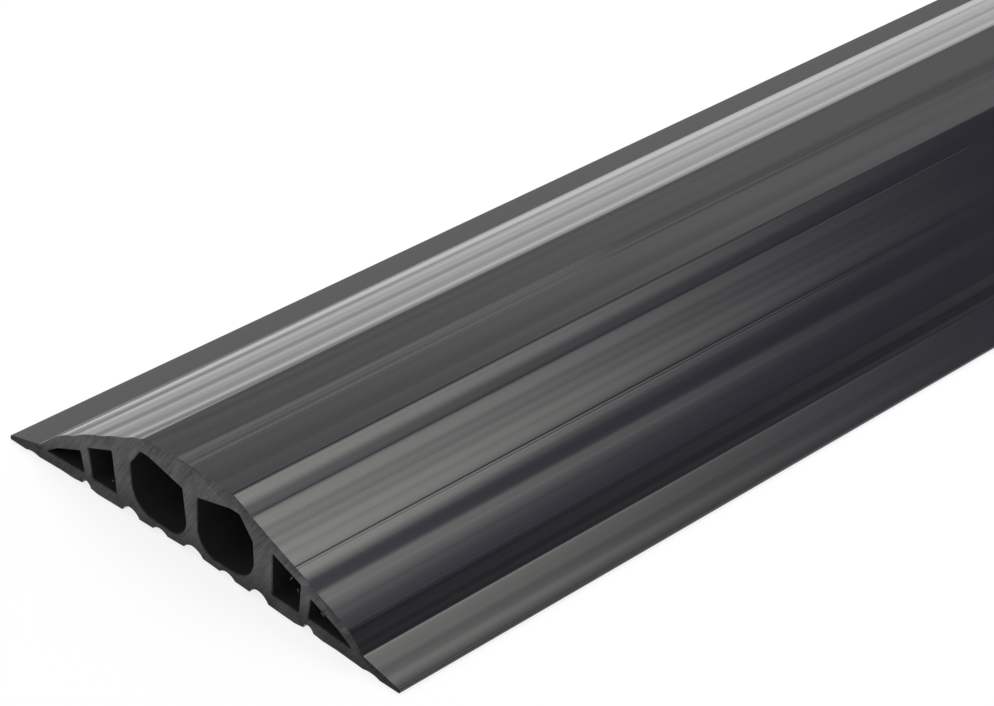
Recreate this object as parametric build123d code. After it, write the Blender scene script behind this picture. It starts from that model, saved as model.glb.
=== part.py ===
from build123d import *
import os
from math import atan, cos

# Cable protector ramp: one length of soft PVC extrusion with six cable cells.
# X runs along the strip, Y across it and Z is up. The origin is on the ground, under the middle
# of the strip. The section is the same from end to end, and its two halves mirror each other.

# ---- Driving dimensions, in mm. Widths run outwards from the middle, heights up from the ground.
length = 1000.0             # one sawn length of the extrusion

# Cells and webs, side by side at floor level
centre_web = 3.4            # between the two large cells, at its foot
large_width = 21.75
inner_web = 6.5             # between a large and a medium cell
medium_width = 9.7
outer_web = 3.35            # between a medium and a small cell, leaning outwards
small_width = 16.0
toe_thickness = 3.25        # from the tip of the small cell to the start of the feather edge
feather_width = 12.75       # the thin ramp that traffic meets first

# Top surface
height = 28.0               # crest of the plateau
crown_drop = 0.7            # from the crest to the ridge
ridge_inset = 6.1           # ridge to the outer wall of the large cell
crease_inset = 0.1          # crease to the same wall
crease_drop = 3.35          # from the crest to the crease
shoulder_height = 16.0
shoulder_inset = 0.85       # shoulder to the foot of the small cell's inner wall
steep_width = 5.0           # steeper band below the shoulder
steep_drop = 2.8
knee_height = 9.0
knee_inset = 1.55           # knee to the tip of the small cell
toe_height = 4.15
tip_height = 1.0
crown_radius = 60.0         # where the two sides of the plateau meet
ridge_radius = 2.5
shoulder_radius = 10.0
knee_radius = 8.0
toe_radius = 1.5
tip_radius = 0.4

# Roof thickness, measured straight down from the top surface
centre_roof = 8.2           # at the centre web
large_roof = 4.6            # over the widest part of the large cell
ridge_roof = 3.8            # at the top of the large cell's chamfer
medium_roof_inner = 4.15
medium_roof_outer = 3.85
small_roof_inner = 4.7
small_roof_outer = 3.6

# Floor thickness, measured straight up from the underside between the grooves
large_floor = 2.4
large_floor_outer = 3.3
medium_floor = 4.0
small_floor = 3.6

# Cell shapes
centre_flare = 1.15         # how far each face of the centre web leans out, foot to roof
large_flat_roof = 3.4       # level part of the large cell's roof
chamfer_width = 4.4
chamfer_height = 5.5
large_inner_radius = 6.5
large_outer_radius = 7.5
medium_lean = 0.8           # how far the medium cell's inner wall leans out
web_lean = 1.15             # how far the outer web leans out, foot to roof
small_roof_bend = 5.05      # bend in the small cell's roof to its tip
corner_radius = 0.35
small_tip_radius = 0.25

# Underside: a slightly bowed base with round grooves that even out the walls
outer_foot_width = 6.8      # flat foot under the feather edge
centre_lift = 2.05          # clearance to the ground under each groove
large_lift = 1.4
inner_lift = 1.05
belly_lift = 0.55           # and under the rests between them
outer_lift = 1.3
small_lift = 0.65
hollow_lift = 0.72
relief_lift = 0.1
centre_groove_radius = 4.9
large_groove_radius = 4.3
inner_groove_radius = 4.0
outer_groove_radius = 1.9
relief_radius = 9.0
centre_groove_top = 3.7
large_groove_top = 2.6
inner_groove_top = 3.15
outer_groove_top = 2.55
relief_top = 0.6
large_groove_inset = 10.6   # inside the large cell's outer wall
inner_groove_offset = 1.2   # outside the same wall
outer_groove_inset = 0.2    # inside the small cell's inner wall
belly_inset = 1.6           # inside the medium cell's outer wall
small_rest_offset = 5.1     # outside the small cell's inner wall
hollow_width = 4.9          # from that rest to the shallow hollow beyond it
relief_inset = 3.2          # inside the outer foot

# ---- Stations across the half section
large_inner = centre_web / 2
large_outer = large_inner + large_width
medium_inner = large_outer + inner_web
medium_outer = medium_inner + medium_width
small_inner = medium_outer + outer_web
small_tip = small_inner + small_width
toe = small_tip + toe_thickness
half_width = toe + feather_width
ridge = large_outer - ridge_inset
crown_tilt = atan(crown_drop / ridge)
crown = height + crown_radius * (1 / cos(crown_tilt) - 1)
foot = half_width - outer_foot_width
large_groove = large_outer - large_groove_inset
inner_groove = large_outer + inner_groove_offset
outer_groove = small_inner - outer_groove_inset
small_rest = small_inner + small_rest_offset
relief = foot - relief_inset

top_line = [
    (0, crown),
    (ridge, height - crown_drop),
    (large_outer - crease_inset, height - crease_drop),
    (small_inner + shoulder_inset, shoulder_height),
    (small_inner + shoulder_inset + steep_width, shoulder_height - steep_drop),
    (small_tip - knee_inset, knee_height),
    (toe, toe_height),
    (half_width, tip_height),
]
base_line = [
    (0, centre_lift),
    (large_groove, large_lift),
    (inner_groove, inner_lift),
    (medium_outer - belly_inset, belly_lift),
    (outer_groove, outer_lift),
    (small_rest, small_lift),
    (small_rest + hollow_width, hollow_lift),
    (relief, relief_lift),
    (foot, 0),
]


def level(line, y):
    """Height of a line of straight runs at the station y."""
    for (y0, z0), (y1, z1) in zip(line, line[1:]):
        if y <= y1:
            return z0 + (z1 - z0) * (y - y0) / (y1 - y0)
    return line[-1][1]


def roof(y, thickness):
    return (y, level(top_line, y) - thickness)


def floor(y, thickness):
    return (y, level(base_line, y) + thickness)


def cell(corners):
    """A closed cell from its corner points, each given with its own radius."""
    points = [point for point, _ in corners]
    radii = [radius for _, radius in corners]
    return make_face(FilletPolyline(*points, radius=radii, close=True))


def across(line):
    """A line of points that starts in the middle, continued to the other side."""
    return [(-y, z) for y, z in reversed(line[1:])] + line


def outline():
    """The solid outline, before its cells and grooves are taken out."""
    corners = top_line + [(half_width, 0), (foot, 0)]
    bends = [ridge_radius, 0, shoulder_radius, shoulder_radius, knee_radius, toe_radius]
    bends += 2 * [tip_radius]
    top = FilletPolyline(*across(corners), radius=[*reversed(bends), crown_radius, *bends])
    base = Polyline(*across(base_line))
    return make_face([*top.edges(), *base.edges()])


def large_cell():
    floor_level = level(base_line, large_groove) + large_floor
    floor_corner = floor(large_outer, large_floor_outer)
    chamfer_top = roof(large_outer - chamfer_width, ridge_roof)
    chamfer_foot = (large_outer, chamfer_top[1] - chamfer_height)
    outer_radius = min(large_outer_radius, 0.6 * (chamfer_foot[1] - floor_corner[1]))
    return cell([
        ((large_inner, floor_level), large_inner_radius),
        (roof(large_inner + centre_flare, centre_roof), corner_radius),
        (roof(large_outer - chamfer_width - large_flat_roof, large_roof), corner_radius),
        (chamfer_top, corner_radius),
        (chamfer_foot, corner_radius),
        (floor_corner, outer_radius),
    ])


def medium_cell():
    return cell([
        (floor(medium_inner, medium_floor), corner_radius),
        (roof(medium_inner + medium_lean, medium_roof_inner), corner_radius),
        (roof(medium_outer + web_lean, medium_roof_outer), corner_radius),
        (floor(medium_outer, medium_floor), corner_radius),
    ])


def small_cell():
    return cell([
        (floor(small_inner, small_floor), corner_radius),
        (roof(small_inner + web_lean, small_roof_inner), corner_radius),
        (roof(small_tip - small_roof_bend, small_roof_outer), corner_radius),
        (floor(small_tip, small_floor), small_tip_radius),
    ])


def groove(y, top, radius):
    return Pos(y, top - radius) * Circle(radius)


def section():
    """The whole section: three cells and four grooves each side, and one groove in the middle."""
    one_side = [
        large_cell(),
        medium_cell(),
        small_cell(),
        groove(large_groove, large_groove_top, large_groove_radius),
        groove(inner_groove, inner_groove_top, inner_groove_radius),
        groove(outer_groove, outer_groove_top, outer_groove_radius),
        groove(relief, relief_top, relief_radius),
    ]
    other_side = [mirror(opening, about=Plane.YZ) for opening in one_side]
    middle = groove(0, centre_groove_top, centre_groove_radius)
    return outline() - one_side - other_side - middle


def protector_profile():
    """The whole strip, extruded both ways from its middle."""
    return extrude(Plane.YZ * section(), amount=length / 2, both=True)


os.makedirs("parts", exist_ok=True)
export_step(protector_profile(), "parts/protector_profile.step")
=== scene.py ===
import math
import bmesh
import bpy
from mathutils import Matrix, Vector
from mathutils.bvhtree import BVHTree


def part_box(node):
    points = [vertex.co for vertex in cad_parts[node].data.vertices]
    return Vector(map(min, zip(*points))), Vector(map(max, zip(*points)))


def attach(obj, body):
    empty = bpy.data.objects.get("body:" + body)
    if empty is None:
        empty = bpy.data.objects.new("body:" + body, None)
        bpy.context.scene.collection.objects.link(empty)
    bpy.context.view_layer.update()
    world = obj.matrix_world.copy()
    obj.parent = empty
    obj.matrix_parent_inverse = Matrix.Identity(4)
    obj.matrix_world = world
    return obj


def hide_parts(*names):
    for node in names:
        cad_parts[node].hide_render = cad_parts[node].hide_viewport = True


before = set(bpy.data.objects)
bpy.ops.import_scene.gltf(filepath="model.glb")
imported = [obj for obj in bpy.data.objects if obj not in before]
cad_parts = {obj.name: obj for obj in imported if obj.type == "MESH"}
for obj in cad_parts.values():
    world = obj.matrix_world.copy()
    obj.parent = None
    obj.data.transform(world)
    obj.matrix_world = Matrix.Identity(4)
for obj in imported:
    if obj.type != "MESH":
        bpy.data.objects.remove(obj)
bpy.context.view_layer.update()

# ---- Extruded strip
# One length of soft black PVC, drawn through a die and sawn off square at both ends. It lies loose on
# the ground. The skin, the webs and the floor are one piece of material, so they are one closed mesh,
# and a few crumbs hang from it where the saw left them.
strip_low, strip_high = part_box("protector_profile")
saw_rim = 0.00025           # worn edge round the sawn faces
skin_step = 0.0004          # how finely the skin is cut up before it is waved
cross_cuts = (              # and where it is cut across, measured in from each end
    0.004, 0.009, 0.015, 0.022, 0.030, 0.040, 0.052, 0.066, 0.085, 0.11, 0.15, 0.20, 0.27, 0.36,
)
least_upward = 0.3          # a face that points up less than this is not skin
least_square = 0.9          # a face that points along the strip more than this is sawn
crumb_depth = 0.0005        # the crumbs lie within this of the near end
underside_top = 0.0035      # faces below this level belong to the underside
widest_cell = 0.04          # a cell wall has another one opposite within this
crease_angle = 28           # corners sharper than this stay sharp
hair = 0.00001              # close enough to be the same place
crumb_taper = 0.3           # thickness at a crumb's tip, as a share of that at its foot
crumbs = (                  # foot, tip and thickness at the foot of each crumb
    ((-0.0380, 0.0143), (-0.0371, 0.0130), 0.00024),
    ((-0.0484, 0.0097), (-0.0491, 0.0086), 0.00040),
    ((0.0307, 0.0088), (0.0311, 0.0080), 0.00030),
    ((0.0632, 0.0030), (0.0608, 0.0039), 0.00036),
    ((-0.0399, 0.0119), (-0.0400, 0.0107), 0.00022),
)
die_lines = (               # place, half width and depth of each line scored by the die
    (-0.0236, 0.00020, 0.00010),
    (-0.0391, 0.00012, 0.00004),
    (-0.0398, 0.00010, 0.00001),
)
line_length = 0.30          # a die line runs this far in from each end
line_fade = 0.12            # and fades out over the last of it

# How much more, in degrees, the skin leans outward than its drawn line, at distances in millimetres
# from the middle. The skin sinks over the cells and stands proud over the webs as it cools. The settled
# lean is added on the near side away from the ends.
near_lean = [
    (0, -1.4), (0.9, -1.4), (1.7, -0.6), (2.4, -0.8), (4, -1.4), (6, -0.9), (8, 0.3), (9.5, 1.2),
    (10.6, 0.4), (12, -1.4), (13.4, -0.5), (15, 0.6), (15.9, -0.6), (16.4, 0.0), (16.6, 10.0),
    (17, 12.0), (17.4, 6.0), (17.9, 0.3), (18.6, -0.4), (19.6, 0.0), (20.2, 1.4), (20.8, 3.3),
    (21.4, 4.6), (22.2, 3.8), (22.8, 4.6), (23.3, 6.0), (23.9, 3.2), (24.4, 1.0), (25.2, 0.4),
    (26.6, 0.4), (27.2, 1.8), (27.8, 2.6), (28.6, 1.4), (29.2, 1.6), (30.2, 2.4), (30.7, 1.0),
    (31, -0.2), (31.6, 1.4), (32.4, 1.4), (33.4, -0.7), (34.6, -1.0), (35, 1.0), (35.6, 0.2),
    (36.2, -1.1), (37.6, -1.0), (38.4, 0.0), (39.1, 1.2), (39.8, -1.3), (40.6, -2.0), (41.4, -1.2),
    (42, 0.8), (42.6, 2.2), (43.4, 3.6), (43.9, 1.0), (44.5, -0.8), (45.5, -1.0), (46.1, -2.8),
    (46.6, -4.8), (47.2, -7.2), (48.2, -7.4), (48.6, -7.0), (49.2, -3.6), (50, -2.6), (51, -2.1),
    (52, -0.8), (53.5, -0.9), (54.4, 0.2), (55.4, 1.4), (56, 2.0), (56.5, 0.0), (57, -3.0),
    (57.6, -6.0), (58.2, -7.0), (58.8, -4.0), (59.4, 2.0), (60, 7.0), (60.8, 10.0), (61.2, 10.0),
    (61.5, -6.0), (61.9, -16.0), (62.05, 1.0), (63, 1.2), (63.6, 0.4), (64.6, 0.2), (65.4, -0.5),
    (66.6, 0.0), (67.4, -1.4), (68.2, -2.1), (69, -1.9), (70.2, -1.6), (71, 0.4), (71.8, 0.0),
    (72.6, -1.2), (73.4, -2.4), (74.4, -3.6), (75, -3.8),
]
settled_lean = [
    (0, 0.0), (36, 0.0), (37.4, 1.6), (38.4, 3.0), (42, 3.2), (43.4, 0.6), (49, 0.0), (50, 0.8),
    (55, 0.8), (56, 0.0), (75, 0.0),
]
far_lean = [
    (0, -1.2), (1.2, -1.8), (3.4, -1.8), (4.6, 0.2), (6, 1.0), (8, 0.3), (11, 1.7), (13.4, -0.2),
    (15, 2.0), (15.6, 1.0), (16.2, -1.2), (17.2, -2.0), (17.5, -7.0), (17.8, -10.0), (18.6, -7.5),
    (19.4, -3.0), (20.2, 3.0), (21.2, 6.5), (22, 4.5), (23, -0.4), (24.8, -3.6), (26.8, -1.5),
    (28.3, 1.2), (29.8, 0.8), (31.1, 5.4), (32.2, 2.8), (33.8, -5.4), (35.2, -5.4), (37, 3.0),
    (38.6, 1.0), (40.4, 3.0), (42.2, 7.0), (43.2, 4.5), (44.4, -5.5), (45.4, -9.5), (46.8, -9.5),
    (47.8, -3.0), (48.8, 3.0), (50, 5.5), (51.4, 6.0), (52.8, 7.5), (54.4, 10.0), (56, 9.0),
    (57.4, 0.0), (58.2, -13.0), (61.6, -13.0), (62.1, 0.0), (75, 0.0),
]
wave_reach = 75             # the waves run out to the tip of the toe, in millimetres
tread = 0.1                 # and are worked out in steps of this many millimetres
settled_over = 0.1          # length in which the near side settles, from each end
far_share = 0.35            # how much of the far waves is left in the middle of the strip
far_fade = 0.25             # length in which the rest of them dies away
splay = 0.0024              # how much further out the far waves lie at the ends
splay_fade = 0.022          # length in which they come back in
splay_crest = 0.015         # the splay is whole from here outward, and nothing on the ridge line
splay_knee = 0.061          # towards here it shrinks again
splay_shrink = 0.011        # over this distance
splay_least = 0.3           # but not below this share


def lift_table(leans):
    heights = [0.0]
    for step in range(int(wave_reach / tread)):
        reach = (step + 0.5) * tread
        for (a, lean_a), (b, lean_b) in zip(leans, leans[1:]):
            if a <= reach < b:
                lean = lean_a + (lean_b - lean_a) * (reach - a) / (b - a)
        heights.append(heights[-1] - math.radians(lean) * tread / 1000)
    return heights


near_lifts = lift_table(near_lean)
settled_lifts = lift_table(settled_lean)
far_lifts = lift_table(far_lean)


def read_lift(lifts, reach):
    place = max(reach, 0) * 1000 / tread
    step = min(int(place), len(lifts) - 2)
    return lifts[step] + (lifts[step + 1] - lifts[step]) * (place - step)


def skin_lift(x, y):
    inboard = min(x - strip_low.x, strip_high.x - x)
    if y < 0:
        settled = 1 - math.exp(-(inboard / settled_over) ** 2)
        return read_lift(near_lifts, -y) + settled * read_lift(settled_lifts, -y)
    strength = far_share + (1 - far_share) * math.exp(-inboard / far_fade)
    share = min(1, y / splay_crest, max(splay_least, (splay_knee - y) / splay_shrink))
    return strength * read_lift(far_lifts, y - splay * math.exp(-inboard / splay_fade) * share)


strip_mesh = bpy.data.meshes.new("pvc_strip")
strip = bpy.data.objects.new("pvc_strip", strip_mesh)
bpy.context.scene.collection.objects.link(strip)
bm = bmesh.new()
bm.from_mesh(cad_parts["protector_profile"].data)
bmesh.ops.remove_doubles(bm, verts=bm.verts, dist=1e-6)
bm.normal_update()
tree = BVHTree.FromBMesh(bm)
above = Vector((0, 0, hair))
skin = []
for f in bm.faces:
    if f.normal.z > least_upward:
        if tree.ray_cast(f.calc_center_median() + above, above)[0] is None:
            skin.append(f)
skin = skin + list({e for f in skin for e in f.edges}) + list({v for f in skin for v in f.verts})
cuts = [strip_low.y + skin_step * n for n in range(1, int((strip_high.y - strip_low.y) / skin_step))]
for line_y, half, depth in die_lines:
    cuts = [y for y in cuts if abs(y - line_y) > 1.5 * half] + [line_y - half, line_y, line_y + half]
planes = [((0, y, 0), (0, 1, 0)) for y in cuts]
for inboard in cross_cuts:
    for x in (strip_low.x + inboard, strip_high.x - inboard):
        planes.append(((x, 0, 0), (1, 0, 0)))
for point, facing in planes:
    cut = bmesh.ops.bisect_plane(bm, geom=skin, dist=1e-7, plane_co=point, plane_no=facing)
    skin = cut["geom"]
for v in skin:
    if isinstance(v, bmesh.types.BMVert):
        v.co.z += skin_lift(v.co.x, v.co.y)
        inboard = min(v.co.x - strip_low.x, strip_high.x - v.co.x)
        shown = min(1, max(0, (line_length - inboard) / line_fade))
        for line_y, half, depth in die_lines:
            if abs(v.co.y - line_y) < 0.5 * half:
                v.co.z -= depth * shown
bm.normal_update()
for end in (strip_low.x, strip_high.x):
    sawn = []
    for f in bm.faces:
        if abs(f.normal.x) > least_square and abs(f.calc_center_median().x - end) < hair:
            sawn.append(f)
    bmesh.ops.inset_region(bm, faces=sawn, thickness=saw_rim, depth=0.0, use_even_offset=True)
    middle = {v for f in sawn for v in f.verts}
    edge_verts = {v for v in bm.verts if abs(v.co.x - end) < 1e-6} - middle
    inward = saw_rim if end < 0 else -saw_rim
    bmesh.ops.translate(bm, verts=list(edge_verts), vec=Vector((inward, 0, 0)))
for (foot_y, foot_z), (tip_y, tip_z), thick in crumbs:
    along = Vector((0, tip_y - foot_y, tip_z - foot_z))
    middle = Vector((strip_low.x, (foot_y + tip_y) / 2, (foot_z + tip_z) / 2))
    lie = Matrix.Translation(middle) @ along.to_track_quat("Z", "Y").to_matrix().to_4x4()
    thin = crumb_taper * thick
    bmesh.ops.create_cone(
        bm, cap_ends=True, segments=6, radius1=thick, radius2=thin, depth=along.length, matrix=lie
    )
tree = BVHTree.FromBMesh(bm)
for f in bm.faces:
    f.smooth = True
    middle = f.calc_center_median()
    opposite = tree.ray_cast(middle + f.normal * hair, f.normal, widest_cell)[0]
    if abs(f.normal.x) > least_square or middle.x < strip_low.x + crumb_depth:
        f.material_index = 1
    elif middle.z > underside_top and opposite is not None:
        f.material_index = 2
bm.to_mesh(strip_mesh)
bm.free()
strip_mesh.set_sharp_from_angle(angle=math.radians(crease_angle))

# The skin is glossy where it left the die, with fine lengthwise lines. Dull and glossy bands alternate
# on the far slope, between the two distances from the middle below.
gloss_from = 0.035
gloss_to = 0.065
extruded_skin = bpy.data.materials.new("extruded_skin")
extruded_skin.use_nodes = True
nodes, links = extruded_skin.node_tree.nodes, extruded_skin.node_tree.links
shader = nodes["Principled BSDF"]
shader.inputs["Roughness"].default_value = 0.11
shader.inputs["IOR"].default_value = 1.54
where = nodes.new("ShaderNodeTexCoord")
drawn = nodes.new("ShaderNodeMapping")
drawn.inputs["Scale"].default_value = (1.2, 900, 900)
lines = nodes.new("ShaderNodeTexNoise")
lines.inputs["Scale"].default_value = 1.0
lines.inputs["Detail"].default_value = 3.0
wide = nodes.new("ShaderNodeMapping")
wide.inputs["Scale"].default_value = (2.5, 240, 240)
streaks = nodes.new("ShaderNodeTexNoise")
streaks.inputs["Scale"].default_value = 1.0
streaks.inputs["Detail"].default_value = 2.0
fine = nodes.new("ShaderNodeBump")
fine.inputs["Distance"].default_value = 0.000006
tint = nodes.new("ShaderNodeMix")
tint.data_type = "RGBA"
tint.inputs[6].default_value = (0.0135, 0.0130, 0.0160, 1)
tint.inputs[7].default_value = (0.0175, 0.0170, 0.0205, 1)
gloss_place = nodes.new("ShaderNodeSeparateXYZ")
gloss_reach = nodes.new("ShaderNodeMapRange")
gloss_reach.inputs["From Min"].default_value = gloss_from
gloss_reach.inputs["From Max"].default_value = gloss_to
gloss_bands = nodes.new("ShaderNodeValToRGB")
gloss_bands.color_ramp.elements[0].color = (0.5, 0.5, 0.5, 1)
gloss_bands.color_ramp.elements[1].color = (0.44, 0.44, 0.44, 1)
for reach, gloss in (       # distance from the middle in millimetres, and gloss
    (37, 0.50), (39, 0.46), (43, 0.48), (45.2, 0.20), (46.8, 0.12), (48, 0.24), (49.6, 0.50),
    (51, 0.70), (52.4, 0.65), (53.2, 0.26), (54.2, 0.12), (55.5, 0.10), (58, 0.12), (60, 0.16),
    (61.3, 0.30), (62.2, 0.50), (63.2, 0.46), (64, 0.44),
):
    place = (reach / 1000 - gloss_from) / (gloss_to - gloss_from)
    gloss_bands.color_ramp.elements.new(place).color = (gloss, gloss, gloss, 1)
links.new(where.outputs["Object"], gloss_place.inputs["Vector"])
links.new(gloss_place.outputs["Y"], gloss_reach.inputs["Value"])
links.new(gloss_reach.outputs["Result"], gloss_bands.inputs["Fac"])
links.new(gloss_bands.outputs["Color"], shader.inputs["Specular IOR Level"])
links.new(where.outputs["Object"], drawn.inputs["Vector"])
links.new(drawn.outputs["Vector"], lines.inputs["Vector"])
links.new(where.outputs["Object"], wide.inputs["Vector"])
links.new(wide.outputs["Vector"], streaks.inputs["Vector"])
links.new(streaks.outputs["Fac"], tint.inputs[0])
links.new(tint.outputs[2], shader.inputs["Base Color"])
links.new(lines.outputs["Fac"], fine.inputs["Height"])
links.new(fine.outputs["Normal"], shader.inputs["Normal"])

# The sawn ends are dull and scored, because the blade crossed them on the slant. Towards the ground
# their colour is painted darker and their gloss is lowered, a painted shade that grows towards the
# bottom.
unshaded_gloss = 0.34
sawn_end = bpy.data.materials.new("sawn_end")
sawn_end.use_nodes = True
nodes, links = sawn_end.node_tree.nodes, sawn_end.node_tree.links
shader = nodes["Principled BSDF"]
shader.inputs["Roughness"].default_value = 0.48
shader.inputs["IOR"].default_value = 1.54
where = nodes.new("ShaderNodeTexCoord")
slant = nodes.new("ShaderNodeVectorRotate")
slant.rotation_type = "X_AXIS"
slant.inputs["Angle"].default_value = math.radians(-38)
score = nodes.new("ShaderNodeMapping")
score.inputs["Scale"].default_value = (300, 1900, 130)
scores = nodes.new("ShaderNodeTexNoise")
scores.inputs["Scale"].default_value = 1.0
scores.inputs["Detail"].default_value = 4.0
scores.inputs["Roughness"].default_value = 0.65
patch = nodes.new("ShaderNodeMapping")
patch.inputs["Scale"].default_value = (100, 300, 90)
patches = nodes.new("ShaderNodeTexNoise")
patches.inputs["Scale"].default_value = 1.0
patches.inputs["Detail"].default_value = 3.0
blend = nodes.new("ShaderNodeMix")
blend.data_type = "FLOAT"
blend.inputs[0].default_value = 0.4
shade = nodes.new("ShaderNodeValToRGB")
shade.color_ramp.elements[0].position = 0.39
shade.color_ramp.elements[0].color = (0.002, 0.002, 0.003, 1)
shade.color_ramp.elements[1].position = 0.62
shade.color_ramp.elements[1].color = (0.056, 0.055, 0.058, 1)
# painted shade: from this height down the sawn face is given less gloss and a darker colour
foot_shade_place = nodes.new("ShaderNodeSeparateXYZ")
foot_shade_gloss = nodes.new("ShaderNodeMapRange")
foot_shade_gloss.interpolation_type = "SMOOTHSTEP"
foot_shade_gloss.inputs["From Min"].default_value = 0.0015
foot_shade_gloss.inputs["From Max"].default_value = 0.013
foot_shade_gloss.inputs["To Min"].default_value = 0.12
foot_shade_gloss.inputs["To Max"].default_value = unshaded_gloss
foot_shade_mask = nodes.new("ShaderNodeMapRange")
foot_shade_mask.inputs["From Max"].default_value = unshaded_gloss
# painted shade: a near-black colour is mixed into the sawn face towards the ground
painted_foot_shade = nodes.new("ShaderNodeMix")
painted_foot_shade.data_type = "RGBA"
painted_foot_shade.inputs[6].default_value = (0.004, 0.004, 0.005, 1)
rough = nodes.new("ShaderNodeBump")
rough.inputs["Distance"].default_value = 0.0003
links.new(where.outputs["Object"], foot_shade_place.inputs["Vector"])
links.new(foot_shade_place.outputs["Z"], foot_shade_gloss.inputs["Value"])
links.new(foot_shade_gloss.outputs["Result"], shader.inputs["Specular IOR Level"])
links.new(foot_shade_gloss.outputs["Result"], foot_shade_mask.inputs["Value"])
links.new(foot_shade_mask.outputs["Result"], painted_foot_shade.inputs[0])
links.new(where.outputs["Object"], slant.inputs["Vector"])
links.new(slant.outputs["Vector"], score.inputs["Vector"])
links.new(score.outputs["Vector"], scores.inputs["Vector"])
links.new(slant.outputs["Vector"], patch.inputs["Vector"])
links.new(patch.outputs["Vector"], patches.inputs["Vector"])
links.new(scores.outputs["Fac"], blend.inputs[2])
links.new(patches.outputs["Fac"], blend.inputs[3])
links.new(blend.outputs[0], shade.inputs["Fac"])
links.new(shade.outputs["Color"], painted_foot_shade.inputs[7])
links.new(painted_foot_shade.outputs[2], shader.inputs["Base Color"])
links.new(blend.outputs[0], rough.inputs["Height"])
links.new(rough.outputs["Normal"], shader.inputs["Normal"])

# Inside the cells the surface never touched the die, so it is duller. Its colour is also painted darker
# than the skin's, a painted shade in the hollows.
cell_wall = bpy.data.materials.new("cell_wall")
cell_wall.use_nodes = True
nodes, links = cell_wall.node_tree.nodes, cell_wall.node_tree.links
shader = nodes["Principled BSDF"]
shader.inputs["Roughness"].default_value = 0.42
shader.inputs["IOR"].default_value = 1.54
where = nodes.new("ShaderNodeTexCoord")
pull = nodes.new("ShaderNodeMapping")
pull.inputs["Scale"].default_value = (12, 500, 500)
pulled = nodes.new("ShaderNodeTexNoise")
pulled.inputs["Scale"].default_value = 1.0
pulled.inputs["Detail"].default_value = 3.0
# painted shade: both tones here are darker than the skin's, so the cell hollows read as shaded
grey = nodes.new("ShaderNodeMix")
grey.data_type = "RGBA"
grey.inputs[6].default_value = (0.009, 0.009, 0.010, 1)
grey.inputs[7].default_value = (0.016, 0.016, 0.017, 1)
dull = nodes.new("ShaderNodeBump")
dull.inputs["Distance"].default_value = 0.00004
links.new(where.outputs["Object"], pull.inputs["Vector"])
links.new(pull.outputs["Vector"], pulled.inputs["Vector"])
links.new(pulled.outputs["Fac"], grey.inputs[0])
links.new(grey.outputs[2], shader.inputs["Base Color"])
links.new(pulled.outputs["Fac"], dull.inputs["Height"])
links.new(dull.outputs["Normal"], shader.inputs["Normal"])

for finish in (extruded_skin, sawn_end, cell_wall):
    strip_mesh.materials.append(finish)
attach(strip, "root")
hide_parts("protector_profile")

# ---- Floor
# A wide white table top, a hair's breadth below the strip's feet. Seen straight on it is as pale as
# the paper behind it, and it keeps the strip's soft shadow.
floor_drop = 0.0002
floor_half = 12             # half the table's width and length
floor_mesh = bpy.data.meshes.new("floor")
floor = bpy.data.objects.new("floor", floor_mesh)
bpy.context.scene.collection.objects.link(floor)
bm = bmesh.new()
lowered = Matrix.Translation((0, 0, -floor_drop))
bmesh.ops.create_grid(bm, x_segments=1, y_segments=1, size=floor_half, matrix=lowered)
bm.to_mesh(floor_mesh)
bm.free()
table_white = bpy.data.materials.new("white_table")
table_white.use_nodes = True
nodes, links = table_white.node_tree.nodes, table_white.node_tree.links
shader = nodes["Principled BSDF"]
shader.inputs["Base Color"].default_value = (0.88, 0.88, 0.88, 1)
shader.inputs["Roughness"].default_value = 0.9
glow = nodes.new("ShaderNodeEmission")
glow.inputs["Strength"].default_value = 1.1
path = nodes.new("ShaderNodeLightPath")
seen = nodes.new("ShaderNodeMath")
seen.operation = "MAXIMUM"
seen_through = nodes.new("ShaderNodeMath")
seen_through.operation = "MAXIMUM"
share = nodes.new("ShaderNodeMath")
share.operation = "MULTIPLY"
share.inputs[1].default_value = 0.72
blend = nodes.new("ShaderNodeMixShader")
links.new(path.outputs["Is Camera Ray"], seen.inputs[0])
links.new(path.outputs["Is Glossy Ray"], seen.inputs[1])
links.new(seen.outputs[0], seen_through.inputs[0])
links.new(path.outputs["Is Transmission Ray"], seen_through.inputs[1])
links.new(seen_through.outputs[0], share.inputs[0])
links.new(share.outputs[0], blend.inputs["Fac"])
links.new(shader.outputs["BSDF"], blend.inputs[1])
links.new(glow.outputs["Emission"], blend.inputs[2])
links.new(blend.outputs["Shader"], nodes["Material Output"].inputs["Surface"])
floor_mesh.materials.append(table_white)

# ---- Studio
# White paper stands at the near end of the table. The rest of the room is plain grey, lighter and
# darker in level bands that tilt along it, and dimmer on the near side and at the far end.
surround = bpy.data.worlds.new("surround")
bpy.context.scene.world = surround
surround.use_nodes = True
nodes, links = surround.node_tree.nodes, surround.node_tree.links
sky = nodes["Background"]
where = nodes.new("ShaderNodeTexCoord")
split = nodes.new("ShaderNodeSeparateXYZ")
climb = nodes.new("ShaderNodeValToRGB")
for place, grey, blue in (  # height, grey and extra blue
    (0.04, 1.0, 0), (0.10, 0.78, 0), (0.14, 0.50, 0), (0.20, 0.46, 0), (0.28, 0.47, 0), (0.38, 0.62, 0),
    (0.43, 0.78, 0), (0.45, 0.58, 0), (0.47, 0.42, 0), (0.487, 0.42, 0), (0.505, 1.0, 0), (0.52, 1.0, 0),
    (0.545, 0.84, 0), (0.57, 0.76, 0), (0.61, 0.72, 0), (0.66, 0.44, 0.06), (0.70, 0.20, 0.07),
    (0.75, 0.18, 0.07), (0.79, 0.42, 0.10), (0.83, 0.85, 0.12),
):
    stop = climb.color_ramp.elements.new(place)
    stop.color = (grey, grey, grey + blue, 1)
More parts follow.
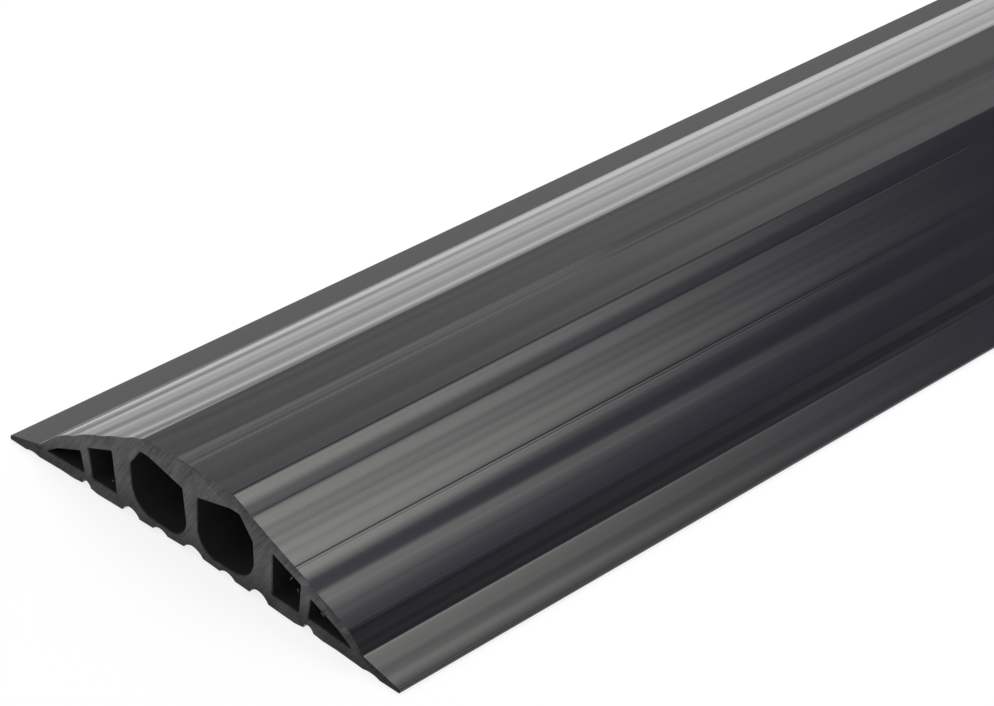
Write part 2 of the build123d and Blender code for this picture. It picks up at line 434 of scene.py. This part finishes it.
climb.color_ramp.elements[0].color = (1, 1, 1, 1)
climb.color_ramp.elements[-1].color = (0.85, 0.85, 0.97, 1)
near_side = nodes.new("ShaderNodeMapRange")
near_side.interpolation_type = "SMOOTHSTEP"
near_side.inputs["From Min"].default_value = -0.62
near_side.inputs["From Max"].default_value = -0.15
near_side.inputs["To Min"].default_value = 0.32
slope = nodes.new("ShaderNodeMath")
slope.operation = "MULTIPLY_ADD"
slope.inputs[1].default_value = 0.26
slope.inputs[2].default_value = -0.158
height = nodes.new("ShaderNodeMath")
height.operation = "ADD"
far_end = nodes.new("ShaderNodeMapRange")
far_end.interpolation_type = "SMOOTHSTEP"
far_end.inputs["From Min"].default_value = 0.64
far_end.inputs["From Max"].default_value = 0.76
far_end.inputs["To Min"].default_value = 1.0
far_end.inputs["To Max"].default_value = 0.82
dimmed = nodes.new("ShaderNodeMath")
dimmed.operation = "MULTIPLY"
back_wall = nodes.new("ShaderNodeMapRange")
back_wall.interpolation_type = "SMOOTHSTEP"
back_wall.inputs["From Min"].default_value = 0.0
back_wall.inputs["From Max"].default_value = -0.5
white_wall = nodes.new("ShaderNodeMix")
white_wall.data_type = "RGBA"
white_wall.inputs[7].default_value = (1.2, 1.2, 1.2, 1)
both = nodes.new("ShaderNodeMath")
both.operation = "MAXIMUM"
links.new(where.outputs["Generated"], split.inputs["Vector"])
links.new(split.outputs["X"], slope.inputs[0])
links.new(slope.outputs[0], height.inputs[0])
links.new(split.outputs["Z"], height.inputs[1])
links.new(height.outputs[0], climb.inputs["Fac"])
links.new(split.outputs["Y"], near_side.inputs["Value"])
links.new(split.outputs["X"], far_end.inputs["Value"])
links.new(near_side.outputs["Result"], dimmed.inputs[0])
links.new(far_end.outputs["Result"], dimmed.inputs[1])
links.new(split.outputs["X"], back_wall.inputs["Value"])
links.new(back_wall.outputs["Result"], white_wall.inputs[0])
links.new(climb.outputs["Color"], white_wall.inputs[6])
links.new(white_wall.outputs[2], sky.inputs["Color"])
links.new(dimmed.outputs[0], both.inputs[0])
links.new(back_wall.outputs["Result"], both.inputs[1])
links.new(both.outputs[0], sky.inputs["Strength"])

# ---- Softboxes
# A long softbox hangs over the strip. Its cloth is brightest over the near end and fades to nothing
# at the other, so the sheen on the near slope dies away along the strip. A narrow one stands on the
# far side and lights the crest.
overhead_strength = 3.5
crest_strength = 1.15
overhead = bpy.data.lights.new("overhead_softbox", "AREA")
overhead.shape = "RECTANGLE"
overhead.size = 1.0
overhead.size_y = 0.40
overhead.energy = overhead_strength * math.pi * overhead.size * overhead.size_y
overhead.color = (1.0, 1.0, 0.88)
overhead.use_nodes = True
nodes, links = overhead.node_tree.nodes, overhead.node_tree.links
cloth = nodes["Emission"]
spot = nodes.new("ShaderNodeNewGeometry")
across = nodes.new("ShaderNodeSeparateXYZ")
fade = nodes.new("ShaderNodeValToRGB")
fade.color_ramp.elements[0].position = 0.36
fade.color_ramp.elements[0].color = (1, 1, 1, 1)
fade.color_ramp.elements[1].position = 0.95
fade.color_ramp.elements[1].color = (0, 0, 0, 1)
for place, grey in ((0.50, 0.79), (0.68, 0.36), (0.78, 0.17)):      # along it, and brightness
    fade.color_ramp.elements.new(place).color = (grey, grey, grey, 1)
side = nodes.new("ShaderNodeValToRGB")
side.color_ramp.elements[0].color = (0, 0, 0, 1)
side.color_ramp.elements[1].color = (0.35, 0.35, 0.35, 1)
for place, grey in (        # across it, and brightness
    (0.05, 0.10), (0.133, 0.29), (0.217, 0.52), (0.287, 0.72), (0.35, 0.88), (0.42, 1.0),
    (0.50, 1.08), (0.65, 0.90), (0.777, 0.65),
):
    side.color_ramp.elements.new(place).color = (grey, grey, grey, 1)
links.new(spot.outputs["Parametric"], across.inputs["Vector"])
links.new(across.outputs["X"], fade.inputs["Fac"])
links.new(across.outputs["Y"], side.inputs["Fac"])
links.new(fade.outputs["Color"], cloth.inputs["Color"])
links.new(side.outputs["Color"], cloth.inputs["Strength"])
overhead_object = bpy.data.objects.new("overhead_softbox", overhead)
overhead_object.location = (0.10, 0.06, 0.80)
overhead_object.rotation_euler = (0, 0, math.radians(3))
bpy.context.scene.collection.objects.link(overhead_object)
overhead_object.visible_camera = False
crest_box = bpy.data.lights.new("crest_softbox", "AREA")
crest_box.shape = "RECTANGLE"
crest_box.size = 0.50
crest_box.size_y = 0.03
crest_box.energy = crest_strength * math.pi * crest_box.size * crest_box.size_y
crest_box_object = bpy.data.objects.new("crest_softbox", crest_box)
crest_box_object.location = (0.30, 0.90, 0.72)
crest_box_object.rotation_euler = (math.radians(-50), 0, 0)
bpy.context.scene.collection.objects.link(crest_box_object)
crest_box_object.visible_camera = False

# ---- Camera
# A long lens, off the near end and on the near side, looks down along the strip.
camera_place = (-0.89274, -0.51425, 0.45690)
camera = bpy.data.cameras.new("camera")
camera.lens = 115.69
camera.sensor_width = 36
camera.clip_end = 50
camera_object = bpy.data.objects.new("camera", camera)
bpy.context.scene.collection.objects.link(camera_object)
right = Vector((0.71922, -0.69478, 0))
up = Vector((0.36519, 0.37804, 0.85072))
turn = Matrix((right, up, right.cross(up))).transposed()
camera_object.matrix_world = Matrix.Translation(camera_place) @ turn.to_4x4()
bpy.context.scene.camera = camera_object
bpy.context.scene.view_settings.view_transform = "Standard"
